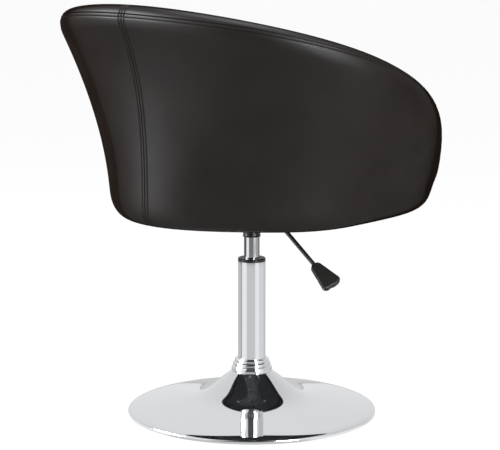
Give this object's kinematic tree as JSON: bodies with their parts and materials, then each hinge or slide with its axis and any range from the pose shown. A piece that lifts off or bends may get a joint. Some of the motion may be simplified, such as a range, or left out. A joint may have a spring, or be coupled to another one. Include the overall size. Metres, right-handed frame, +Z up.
{
  "type": "height-adjustable swivel tub chair",
  "caption": "Tub-shaped swivel chair in smooth black leatherette on a gas-lift column with a chromed trumpet base and a height lever.",
  "frame": {"origin": "centre of the round base's floor face, on the column's axis", "axes": "+Z up along the column; -Y towards the chair's front; -X towards the sitter's right, where the height lever is"},
  "size_m": [0.6962, 0.6154, 0.752],
  "materials": {
    "polished_chrome": "polished",
    "zinc_steel": "satin",
    "black_painted_steel": "satin",
    "black_rubber": "matte",
    "black_nylon": "satin",
    "turned_brass": "satin",
    "black_lining_fabric": "matte",
    "moulded_plywood": "satin",
    "black_leatherette": "satin"
  },
  "bodies": {
    "base": {"base_trumpet": "polished_chrome", "base_hub": "zinc_steel", "ballast_plate": "black_painted_steel", "floor_ring": "black_rubber", "neck_collar": "polished_chrome", "column_tube": "polished_chrome", "guide_bush": "black_nylon", "lower_race": "zinc_steel"},
    "ball_bearing": {"ball_cage": "turned_brass", "bearing_balls": "zinc_steel"},
    "piston": {"piston_rod": "zinc_steel", "piston_head": "zinc_steel", "piston_seal": "black_rubber", "upper_race": "zinc_steel", "rubber_bumper": "black_rubber", "rod_clip": "black_painted_steel"},
    "seat": {"pressure_tube": "polished_chrome", "rod_guide": "black_painted_steel", "rod_seal": "black_rubber", "valve_body": "turned_brass", "conical_socket": "black_nylon", "mechanism_plate": "black_painted_steel", "pivot_bracket": "black_painted_steel", "pivot_pin": "zinc_steel", "plate_washers": "zinc_steel", "plate_bolts": "zinc_steel", "tee_nuts": "zinc_steel", "dust_cover": "black_lining_fabric", "tub_shell": "moulded_plywood", "seat_board": "moulded_plywood", "inner_pad": "black_leatherette", "outer_cover_left": "black_leatherette", "outer_cover_right": "black_leatherette", "rim_band": "black_leatherette", "seat_cushion": "black_leatherette"},
    "lever": {"lever_rod": "black_painted_steel", "lever_paddle": "black_nylon"},
    "release_button": {"release_pin": "zinc_steel"}
  },
  "joints": [
    {"name": "swivel", "type": "hinge", "parent": "base", "child": "piston", "pos_m": [0, 0, 0.1], "axis": [0, 0, 1], "continuous": true},
    {"name": "ball_roll", "type": "hinge", "parent": "base", "child": "ball_bearing", "pos_m": [0, 0, 0.0216], "axis": [0, 0, 1], "continuous": true},
    {"name": "lift", "type": "slide", "parent": "piston", "child": "seat", "axis": [0, 0, 1], "range_m": [0, 0.12]},
    {"name": "lever", "type": "hinge", "parent": "seat", "child": "lever", "pos_m": [-0.03, 0, 0.36515], "axis": [0, 1, 0], "range_deg": [0, 6], "stiffness_Nm_per_rad": 4, "springref_deg": -2.86},
    {"name": "release_button", "type": "slide", "parent": "seat", "child": "release_button", "axis": [0, 0, -1], "range_m": [0, 0.0032]}
  ],
  "couplings": [
    {"joint": "ball_roll", "follows": "swivel", "ratio": 0.5},
    {"joint": "release_button", "follows": "lever", "m_per_rad": 0.03}
  ]
}
